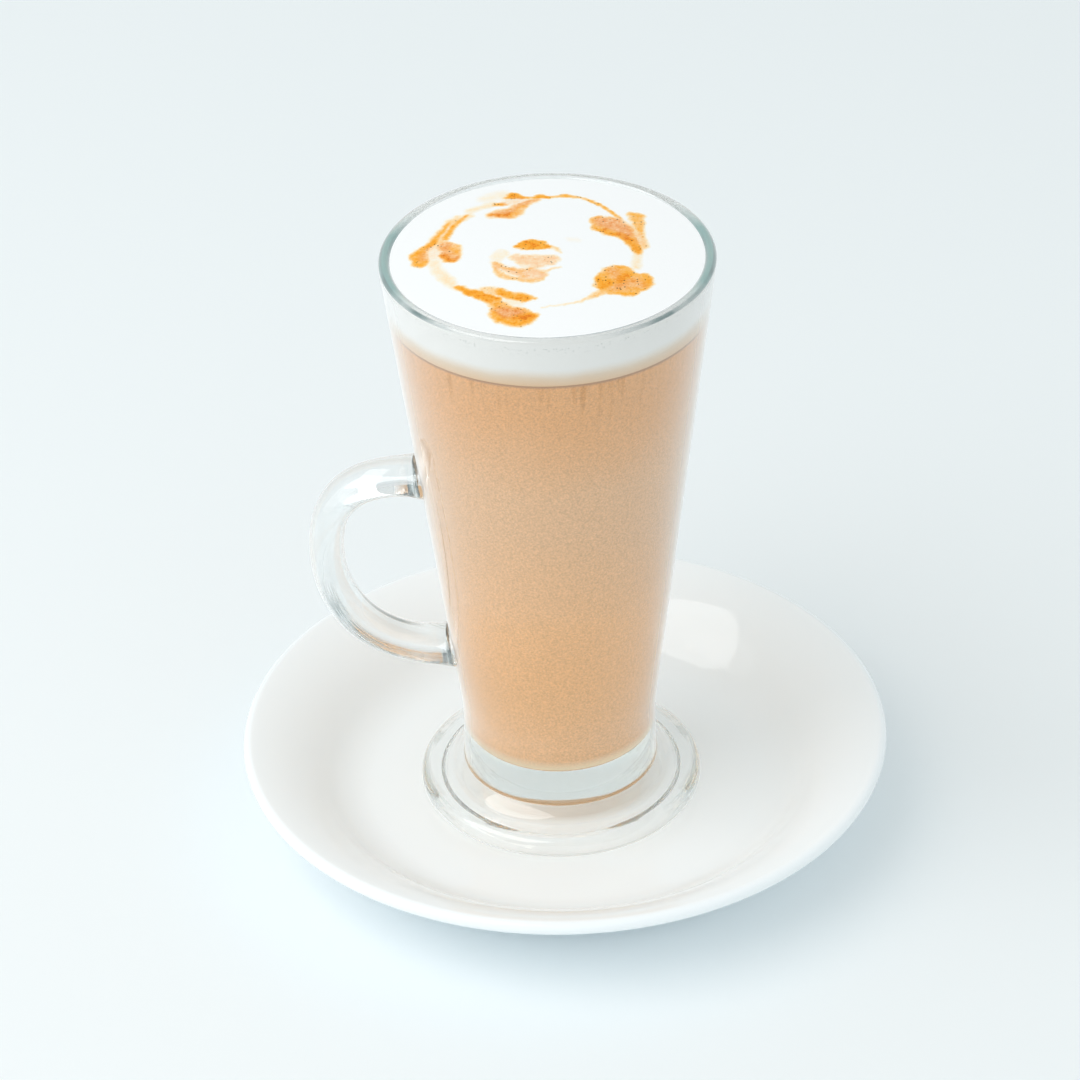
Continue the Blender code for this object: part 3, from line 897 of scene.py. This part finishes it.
# the drawing, in millimetres from the saucer's middle: each stroke has its strength, how
# pink it is, how softly it fades, and then (x, y, half width) along its middle
STROKES = (
    # left heart: outer lobe, two strands, inner lobe with its dark foot, pale trails
    (0.74, 0.0, 0.8, (-29.1, 3.5, 1.5), (-30.2, 0.7, 1.9), (-29.9, -1.8, 2.0)),
    (0.80, 0.0, 1.2, (-30.3, 2.7, 0.9), (-31.2, 1.3, 1.0)),
    (0.80, 0.0, 1.2, (-30.8, -2.1, 0.8), (-29.7, -2.9, 0.9)),
    (0.60, 0.6, 1.4, (-28.7, 1.8, 1.2), (-29.3, -0.4, 1.2)),
    (0.78, 0.0, 0.6, (-29.0, 4.3, 1.3), (-27.1, 6.5, 1.1), (-25.6, 10.0, 0.8), (-24.7, 12.5, 0.8),
     (-23.1, 16.3, 0.5)),
    (0.80, 0.0, 0.6, (-24.1, 8.1, 0.9), (-23.5, 10.7, 0.9), (-22.3, 13.8, 0.8), (-21.0, 16.4, 0.7),
     (-19.5, 18.9, 0.6)),
    (0.36, 0.0, 1.0, (-28.0, 4.0, 1.4), (-26.0, 7.9, 2.1), (-24.1, 11.6, 1.8), (-22.6, 16.2, 1.3),
     (-21.2, 18.1, 0.9)),
    (0.68, 0.8, 0.7, (-24.0, 4.8, 2.1), (-23.2, 2.2, 2.4), (-22.6, -0.3, 2.1)),
    (0.64, 0.1, 1.0, (-22.0, 4.0, 1.3), (-21.5, 1.3, 1.1)),
    (0.98, 0.3, 0.8, (-24.7, 0.5, 0.9), (-23.6, -1.3, 1.1), (-22.4, -2.0, 0.8)),
    (0.22, 0.7, 1.4, (-26.9, 3.4, 1.8), (-26.8, 0.4, 1.7)),
    (0.19, 0.2, 1.2, (-26.6, -2.2, 1.4), (-26.1, -5.2, 1.6), (-24.9, -7.9, 1.6), (-23.0, -11.0, 1.5)),
    (0.20, 0.1, 1.0, (-24.2, -9.7, 1.4), (-22.0, -13.5, 1.2)),
    # lower heart: its band, the full near lobe, the slim far lobe
    (0.88, 0.0, 0.6, (-21.5, -13.5, 0.8), (-20.2, -14.4, 1.1), (-18.8, -15.9, 1.6), (-17.0, -16.7, 1.8),
     (-15.3, -18.2, 1.7), (-13.8, -19.4, 1.6), (-12.5, -19.4, 1.0)),
    (0.74, 0.1, 1.0, (-13.6, -20.1, 1.5), (-12.4, -21.6, 1.7), (-10.9, -22.6, 1.6)),
    (0.74, 0.1, 0.6, (-12.1, -24.1, 2.0), (-10.4, -25.6, 3.1), (-8.0, -26.5, 3.4), (-5.9, -26.9, 2.4),
     (-4.3, -26.5, 1.3)),
    (0.60, 1.0, 1.4, (-11.6, -24.1, 1.7), (-9.9, -25.2, 2.3), (-8.0, -25.1, 1.7)),
    (0.84, 0.0, 1.0, (-13.6, -25.5, 0.9), (-12.2, -27.7, 1.2), (-10.0, -29.2, 1.1), (-7.5, -29.6, 1.1),
     (-5.8, -29.0, 1.0)),
    (1.00, 0.1, 1.2, (-8.0, -27.3, 1.2), (-6.3, -27.3, 1.6), (-4.8, -26.7, 1.1)),
    (0.38, 0.1, 0.9, (-15.4, -15.3, 1.5), (-14.3, -15.9, 1.9), (-12.8, -16.2, 1.7)),
    (0.84, 0.0, 0.7, (-12.2, -16.0, 1.1), (-10.9, -17.1, 1.6), (-8.9, -18.4, 1.8), (-6.9, -19.1, 1.8),
     (-5.2, -19.3, 1.2), (-4.3, -19.6, 0.7)),
    (0.97, 0.1, 0.8, (-8.1, -19.1, 0.8), (-6.4, -19.4, 0.8)),
    (0.14, 0.5, 1.2, (-11.4, -20.3, 1.4), (-7.9, -21.2, 1.5)),
    # upper heart: a pale trail, three dark flecks, the pink lobe with its dark streak
    (0.20, 0.1, 1.0, (-18.6, 21.1, 1.3), (-16.3, 22.3, 1.2), (-13.1, 23.7, 1.2)),
    (0.13, 0.2, 1.8, (-14.8, 26.7, 1.9), (-11.3, 28.3, 2.1)),
    (0.24, 0.1, 1.0, (-20.3, 17.1, 1.1), (-18.8, 18.8, 1.2)),
    (0.90, 0.0, 0.6, (-10.3, 26.6, 0.7), (-8.7, 27.5, 1.7), (-7.0, 26.8, 1.2), (-5.3, 26.4, 0.7)),
    (0.88, 0.0, 0.6, (-4.1, 26.3, 0.6), (-2.1, 26.8, 1.2), (-0.7, 26.3, 0.8)),
    (0.84, 0.0, 0.7, (-12.4, 23.6, 0.7), (-11.3, 23.5, 1.1), (-10.4, 23.4, 0.6)),
    (0.66, 0.8, 0.8, (-13.8, 18.3, 1.2), (-12.2, 18.7, 2.0), (-10.2, 18.8, 2.4), (-8.5, 19.6, 2.3),
     (-7.5, 21.6, 1.8), (-6.2, 23.4, 1.4), (-4.7, 24.4, 1.0), (-3.0, 25.2, 0.7)),
    (0.97, 0.4, 0.8, (-13.8, 18.6, 0.6), (-11.7, 18.2, 1.0), (-9.5, 18.2, 0.9)),
    (0.60, 0.1, 1.0, (-8.7, 17.7, 1.1), (-7.5, 19.5, 1.1), (-6.5, 22.5, 0.9)),
    (0.26, 0.9, 1.2, (-9.9, 24.3, 1.5), (-7.3, 24.7, 1.8)),
    # the thin ring drawn on from it to the right
    (0.66, 0.0, 0.5, (-0.7, 26.2, 0.7), (1.6, 26.6, 0.6), (3.4, 27.0, 0.8), (5.4, 26.4, 0.6),
     (7.4, 25.4, 0.6), (9.1, 24.1, 0.7), (11.1, 22.3, 0.7)),
    (0.74, 0.0, 0.5, (11.1, 22.4, 0.6), (12.9, 19.9, 0.6), (14.5, 17.5, 0.7), (15.6, 15.6, 0.6)),
    (0.26, 0.5, 0.6, (15.6, 15.6, 0.6), (16.9, 12.9, 0.6), (18.4, 10.3, 0.6)),
    # right heart: the pink lobe and its dark near edge, the slim lobe, a pale trail
    (0.68, 0.1, 0.6, (11.1, 11.3, 2.0), (11.0, 14.6, 2.2), (12.5, 13.2, 3.1), (14.5, 11.5, 3.2),
     (16.3, 9.2, 2.7), (17.8, 6.1, 2.0), (18.9, 2.8, 1.4), (19.2, 0.1, 1.0)),
    (0.68, 0.1, 0.6, (11.1, 11.1, 1.8), (13.1, 10.3, 2.0), (15.1, 8.6, 2.0)),
    (0.56, 1.0, 1.3, (12.0, 13.9, 2.4), (14.1, 12.7, 2.9), (16.1, 10.5, 2.4), (17.6, 7.9, 1.6)),
    (0.88, 0.1, 0.9, (10.4, 10.0, 0.6), (12.9, 8.3, 0.9), (14.7, 7.8, 1.0), (16.5, 6.4, 1.1),
     (18.0, 4.3, 1.2), (19.0, 1.5, 1.1), (19.3, -0.7, 0.8)),
    (1.00, 0.5, 0.8, (15.6, 7.5, 0.7), (16.7, 6.5, 1.0)),
    (1.00, 0.6, 0.6, (12.0, 10.3, 0.6)),
    (0.62, 0.0, 0.8, (18.5, 17.2, 1.1), (19.5, 16.2, 1.9), (19.9, 12.9, 1.5), (20.2, 9.8, 1.1),
     (20.2, 7.9, 0.9)),
    (0.42, 0.1, 0.9, (20.2, 7.4, 1.1), (20.6, 4.7, 1.1), (20.9, 1.9, 1.0)),
    (0.36, 0.5, 1.0, (19.2, 7.4, 1.0), (20.0, 4.2, 1.2)),
    (0.20, 0.2, 1.0, (19.3, -1.2, 1.1), (18.9, -4.3, 1.3), (18.8, -7.0, 1.1)),
    # near right heart: two full lobes, golden rims, a dark eye and a long thin tail
    (0.70, 0.0, 0.6, (12.0, -14.2, 2.4), (12.0, -11.2, 2.4), (13.3, -9.1, 2.6), (14.9, -8.5, 2.6),
     (16.0, -9.1, 2.3)),
    (0.70, 0.0, 0.6, (13.2, -12.5, 3.2), (15.5, -12.6, 3.6)),
    (0.68, 0.0, 0.6, (18.6, -11.3, 1.9), (20.0, -11.5, 2.1), (20.2, -13.9, 2.1), (19.2, -15.4, 2.3)),
    (0.68, 0.0, 0.6, (17.2, -13.4, 3.0), (19.0, -13.4, 2.6)),
    (0.66, 0.0, 0.6, (11.4, -16.3, 1.3), (13.1, -16.8, 1.8), (15.6, -16.6, 2.2), (17.6, -16.6, 2.0)),
    (0.56, 0.6, 1.4, (13.4, -8.2, 1.7), (15.5, -13.0, 1.9), (17.7, -13.4, 2.3), (19.2, -14.3, 1.9)),
    (0.52, 0.7, 1.4, (13.4, -15.5, 1.3), (15.6, -15.1, 1.8)),
    (0.98, 0.1, 0.9, (16.3, -10.7, 1.2), (14.9, -13.4, 0.8)),
    (0.90, 0.0, 1.0, (10.5, -12.1, 1.0), (10.8, -14.6, 1.6), (12.0, -13.4, 1.5)),
    (0.86, 0.0, 1.0, (21.5, -11.7, 0.8), (21.3, -13.7, 1.1)),
    (0.84, 0.0, 0.9, (14.9, -18.3, 0.7), (16.4, -18.6, 0.9), (18.2, -17.9, 0.8)),
    (0.44, 0.0, 0.7, (11.3, -17.4, 1.2), (9.8, -18.2, 1.2), (8.2, -19.6, 0.8)),
    (0.30, 0.1, 0.5, (8.2, -19.6, 0.8), (5.9, -21.3, 0.6), (3.4, -22.1, 0.4), (0.6, -22.8, 0.3),
     (-2.6, -23.3, 0.3)),
    # middle: a golden cap over a pale bean, and a swirl round its near side
    (0.90, 0.0, 0.6, (-7.8, 3.3, 0.9), (-6.5, 3.7, 1.5), (-4.9, 4.3, 2.2), (-3.2, 3.9, 2.1),
     (-1.8, 3.0, 1.2), (-0.6, 2.6, 0.6)),
    (0.90, 0.0, 0.6, (-6.4, 2.6, 1.0), (-4.4, 2.2, 1.0), (-2.7, 2.5, 1.0)),
    (0.32, 0.1, 0.6, (-0.4, 2.7, 0.8), (1.0, 1.9, 0.7), (1.9, -0.2, 0.5)),
    (0.38, 0.8, 0.8, (-8.0, -1.7, 1.7), (-6.1, -3.1, 2.6), (-3.3, -3.8, 3.0), (-1.1, -3.4, 2.6),
     (0.3, -3.0, 1.6)),
    (0.14, 0.3, 0.9, (-11.3, 0.4, 1.9), (-12.5, -1.5, 1.9), (-12.8, -3.4, 1.3)),
    (0.48, 0.2, 0.6, (-12.8, -3.9, 0.8), (-12.6, -7.0, 0.9), (-11.5, -9.6, 0.9), (-9.3, -10.7, 0.8),
     (-6.8, -11.6, 1.0), (-4.5, -12.1, 1.1), (-2.7, -11.2, 1.1), (-2.3, -9.4, 1.0)),
    (0.44, 0.9, 0.9, (-12.2, -5.1, 1.2), (-10.4, -6.6, 1.3), (-8.7, -7.7, 1.6), (-6.7, -8.5, 2.2),
     (-4.8, -8.9, 2.5), (-3.1, -9.4, 2.0)),
    (0.62, 0.4, 0.7, (-12.5, -4.1, 0.9), (-11.5, -5.4, 0.8), (-9.5, -6.6, 0.6), (-7.3, -7.9, 0.6),
     (-6.5, -7.4, 0.6), (-4.5, -7.1, 0.5)),
    (0.58, 0.5, 0.7, (-7.4, -7.9, 0.7), (-6.9, -9.8, 0.7), (-6.5, -10.9, 0.6)),
    (0.36, 0.3, 0.5, (-2.1, -8.2, 0.7), (-0.3, -7.4, 0.5), (1.6, -6.5, 0.4)),
    (0.06, 0.2, 1.0, (4.2, 6.0, 1.2), (5.9, 5.4, 1.2)),
)


def foam_profile():
    """The foam's half outline, its crown sampled finely enough to carry the pattern."""
    side_r = wall_r(FOAM_EDGE_Z) - WALL + INTO_WALL
    crown = []
    for step in range(FOAM_RINGS):
        share = step / FOAM_RINGS
        crown.append((share * side_r, FOAM_EDGE_Z + (FOAM_CROWN_Z - FOAM_EDGE_Z) * (1 - share ** 2)))
    side = [(wall_r(z) - WALL + INTO_WALL, z) for z in (FOAM_EDGE_Z, FOAM_EDGE_Z - MM, COFFEE_TOP_Z)]
    return crown + side + [(0.0, COFFEE_TOP_Z)]


def brush(points, fade, ends):
    """How fully a stroke covers each point: 1 inside, falling to 0 over its soft edge."""
    best = np.full(len(points), -9.0)
    for (x0, y0, r0), (x1, y1, r1) in zip(ends, ends[1:] or ends):
        start = np.array((x0, y0))
        along = np.array((x1, y1)) - start
        share = np.clip((points - start) @ along / max(along @ along, 1e-9), 0, 1)
        gap = np.linalg.norm(points - start - share[:, None] * along, axis=1)
        half = r0 + (r1 - r0) * share
        best = np.maximum(best, (half - EDGE_INSET - gap) / np.minimum(fade, 0.9 * half + 0.15))
    cover = np.clip((best + 1) / 2, 0, 1)
    return cover * cover * (3 - 2 * cover)


def strayed(flat, reach, length, layer):
    """A smooth push for each point of the drawing."""
    return reach * np.array([noise.noise_vector((x / length, y / length, layer))[:2] for x, y in flat])


def paint_foam(mesh):
    """Store the drawing's strength and pinkness on the points of the foam's top."""
    count = len(mesh.vertices)
    places = np.empty(count * 3, np.float32)
    mesh.vertices.foreach_get("co", places)
    places = places.reshape(-1, 3).astype(float) / MM
    flat = places[:, :2]
    noise.seed_set(HAND_SEED)
    flat = flat + strayed(flat, *HAND_WANDER) + strayed(flat, *HAND_RIPPLE)
    strength = np.zeros(count)
    pinkness = np.zeros(count)
    for full, pink, fade, *ends in STROKES:
        cover = brush(flat, fade, ends)
        strength += np.maximum(full - strength, 0) * cover
        if full > PINK_STRENGTH:
            pinkness += (pink - pinkness) * cover
    strength[places[:, 2] < FOAM_TOP_Z / MM - 0.05] = 0.0
    for name, values in (("stain", strength), ("pinkness", pinkness)):
        mesh.attributes.new(name, "FLOAT", "POINT").data.foreach_set("value", values.astype(np.float32))


def dots(place, rate, edge, draw):
    """Round dots on a cell pattern: edge is their soft outline, and draw leaves some cells empty."""
    cells = add_node(place.id_data, "ShaderNodeTexVoronoi", Vector=place, Scale=rate)
    lot = add_node(place.id_data, "ShaderNodeSeparateColor", Color=cells.outputs["Color"]).outputs["Red"]
    return product(map_range(cells.outputs["Distance"], *edge), map_range(lot, *draw))


foam_material, foam_tree, foam_shader = new_material(
    "milk_foam", FOAM_WHITE, FOAM_ROUGHNESS, Specular_IOR_Level=FOAM_SHINE
)
foam_place = object_place(foam_tree)
foam_z = axes(foam_place)[2]
sag = product(maths("SUBTRACT", noise_texture(foam_place, SAG_RATE), 0.5), SAG_DEPTH)
foam_level = map_range(maths("ADD", foam_z, sag), FOAM_FOOT_Z, FOAM_FOOT_Z + BEIGE_DEPTH)
foam_tone = colour_ramp(foam_level, SIDE_STOPS)

# fine bubbles lie against the glass, just under where its rim rounds over
bubbles = product(
    dots(foam_place, BUBBLE_RATE, BUBBLE_EDGE, BUBBLE_DRAW),
    map_range(foam_z, *BUBBLE_START_Z, 0.0, BUBBLE_SHARE),
    map_range(foam_z, *BUBBLE_END_Z),
)
foam_tone = blend_colour(bubbles, foam_tone, BUBBLE_TONE)
foam_tone = blend_colour(map_range(foam_z, *TOP_FACE_Z), foam_tone, FOAM_WHITE)

# the drawing's colour runs from cream over orange to brown as it gets stronger, pinker in the lobes
stain = stored(foam_tree, "stain").outputs["Fac"]
pinkness = stored(foam_tree, "pinkness").outputs["Fac"]
mottle_fine, mottle_broad = (
    map_range(noise_texture(foam_place, rate), *MOTTLE_CLOUD, -depth, depth)
    for rate, depth in (MOTTLE_FINE, MOTTLE_BROAD)
)
mottle = product(maths("ADD", mottle_fine, mottle_broad), map_range(stain, *MOTTLE_STAIN))
strength = maths("DIVIDE", maths("ADD", stain, mottle), STAIN_FULL)
stain_tone = blend_colour(pinkness, colour_ramp(strength, ORANGE_STOPS), colour_ramp(strength, PINK_STOPS))
foam_tone = blend_colour(map_range(stain, *SHOWING_STAIN), foam_tone, stain_tone)

# dark specks of crema float in it
specks = product(
    dots(foam_place, SPECK_RATE, SPECK_EDGE, SPECK_DRAW),
    map_range(stain, *SPECK_STAIN),
    map_range(noise_texture(foam_place, SPECK_PATCH_RATE, 1.0), *SPECK_PATCH_CLOUD, 0.0, SPECK_SHARE),
)
foam_tone = blend_colour(specks, foam_tone, SPECK_COLOUR)
foam_grain = noise_texture(foam_place, FOAM_GRAIN_RATE, 3.0)
set_inputs(foam_shader, Base_Color=foam_tone, Normal=bump(foam_grain, FOAM_GRAIN_STRENGTH, FOAM_GRAIN_DEPTH))

foam = mesh_piece("foam_top", spun(foam_profile(), FOAM_STEPS, GLASS_AXIS), foam_material)
foam.data.set_sharp_from_angle(angle=math.radians(DRINK_CREASE_ANGLE))
paint_foam(foam.data)
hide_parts("foam")
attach(foam, "root")
